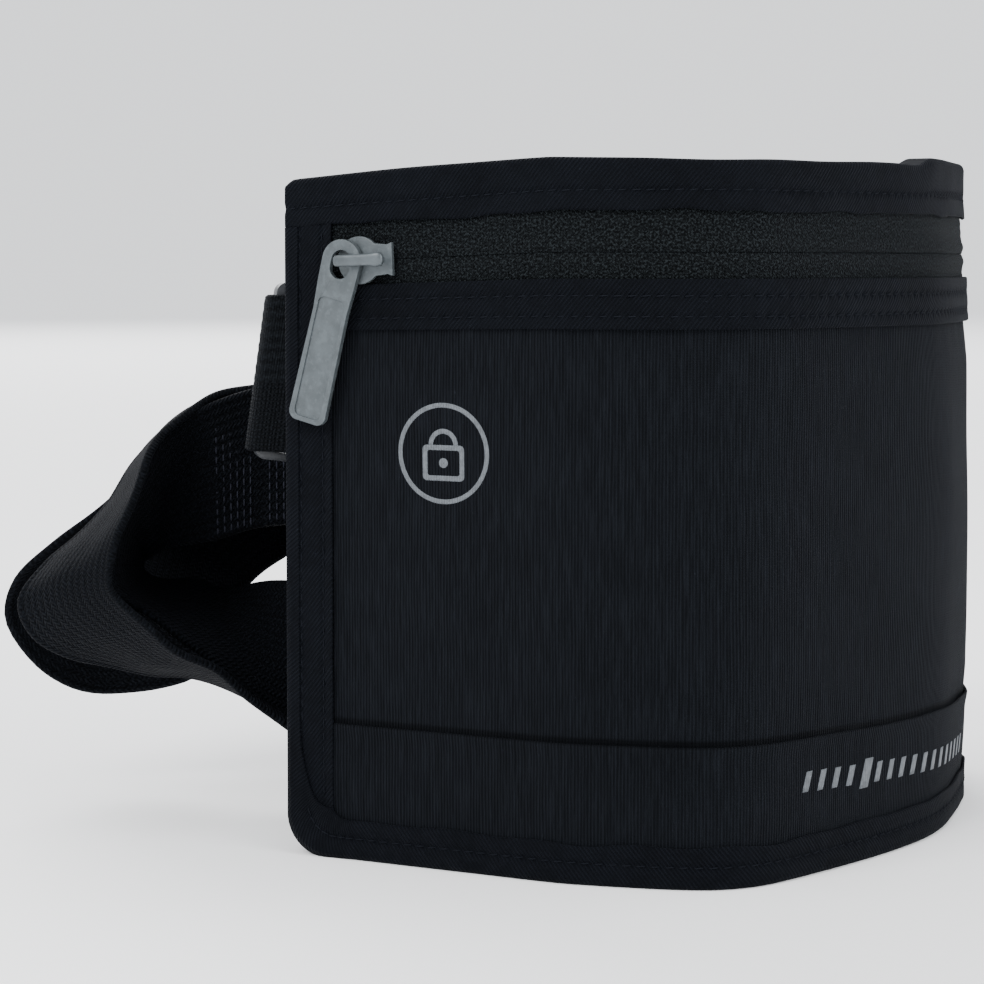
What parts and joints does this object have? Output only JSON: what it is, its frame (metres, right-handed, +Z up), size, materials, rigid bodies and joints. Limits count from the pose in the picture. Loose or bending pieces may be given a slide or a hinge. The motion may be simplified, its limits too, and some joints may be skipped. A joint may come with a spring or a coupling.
{
  "type": "money belt",
  "caption": "Flat zipped waist pouch of dark ribbed cloth with bound edges, a webbing strap and a side-release buckle.",
  "frame": {"origin": "centre of the bounding box on the ground plane the pouch stands on", "axes": "+Z up, the pouch's printed front faces -Y, and the zip closes towards -X"},
  "size_m": [0.2098, 0.1264, 0.135],
  "materials": {
    "binding_tape": "matt twill tape",
    "shell_cloth": "matt ribbed polyester",
    "zip_tape": "matt knitted tape",
    "zip_coil": "matt nylon coil",
    "foil_lining": "metallised lining cloth",
    "pad_mesh": "thin foam and mesh",
    "back_cloth": "matt ribbed polyester",
    "slider_metal": "satin grey paint",
    "buckle_plastic": "fine moulded grain",
    "elastic": "ribbed elastic",
    "webbing": "ribbed webbing"
  },
  "bodies": {
    "pouch": {"edge_binding": "binding_tape", "top_binding": "binding_tape", "pocket_mouth_binding": "binding_tape", "front_panel": "shell_cloth", "front_hem_panel": "shell_cloth", "zip_tape_lower": "zip_tape", "zip_tape_upper": "zip_tape", "zip_coil_lower": "zip_coil", "zip_coil_upper": "zip_coil", "rfid_lining": "foil_lining", "inner_divider": "shell_cloth", "back_pad": "pad_mesh", "back_panel": "back_cloth", "buckle_socket": "buckle_plastic", "elastic_tab": "elastic", "waist_strap": "webbing"},
    "slider": {"zip_slider": "slider_metal"},
    "tab": {"pull_tab": "slider_metal"},
    "plug": {"buckle_plug": "buckle_plastic"},
    "upper_arm": {"prong_upper": "buckle_plastic"},
    "lower_arm": {"prong_lower": "buckle_plastic"},
    "keeper": {"strap_keeper": "elastic"}
  },
  "joints": [
    {"name": "zip_travel", "type": "slide", "parent": "pouch", "child": "slider", "axis": [0.9057, -0.4223, 0.0366], "range_m": [0, 0.03]},
    {"name": "pull_tab_swing", "type": "hinge", "parent": "slider", "child": "tab", "pos_m": [-0.02703, -0.04309, 0.11598], "axis": [0.4226, 0.9063, 0], "range_deg": [-58, 75]},
    {"name": "buckle_release", "type": "slide", "parent": "pouch", "child": "plug", "axis": [0.9587, 0.2479, -0.1392], "range_m": [0, 0.026], "deforming": ["waist_strap"]},
    {"name": "prong_squeeze_upper", "type": "hinge", "parent": "plug", "child": "upper_arm", "pos_m": [-0.00665, -0.01215, 0.09814], "axis": [0.2504, -0.9681, 0], "range_deg": [0, 7], "stiffness_Nm_per_rad": 0.4},
    {"name": "prong_squeeze_lower", "type": "hinge", "parent": "plug", "child": "lower_arm", "pos_m": [-0.00907, -0.01278, 0.08032], "axis": [-0.2504, 0.9681, 0], "range_deg": [0, 7], "stiffness_Nm_per_rad": 0.4},
    {"name": "keeper_slide", "type": "slide", "parent": "plug", "child": "keeper", "axis": [1, 0, 0], "range_m": [-0.012, 0.008], "deforming": ["waist_strap"]}
  ]
}
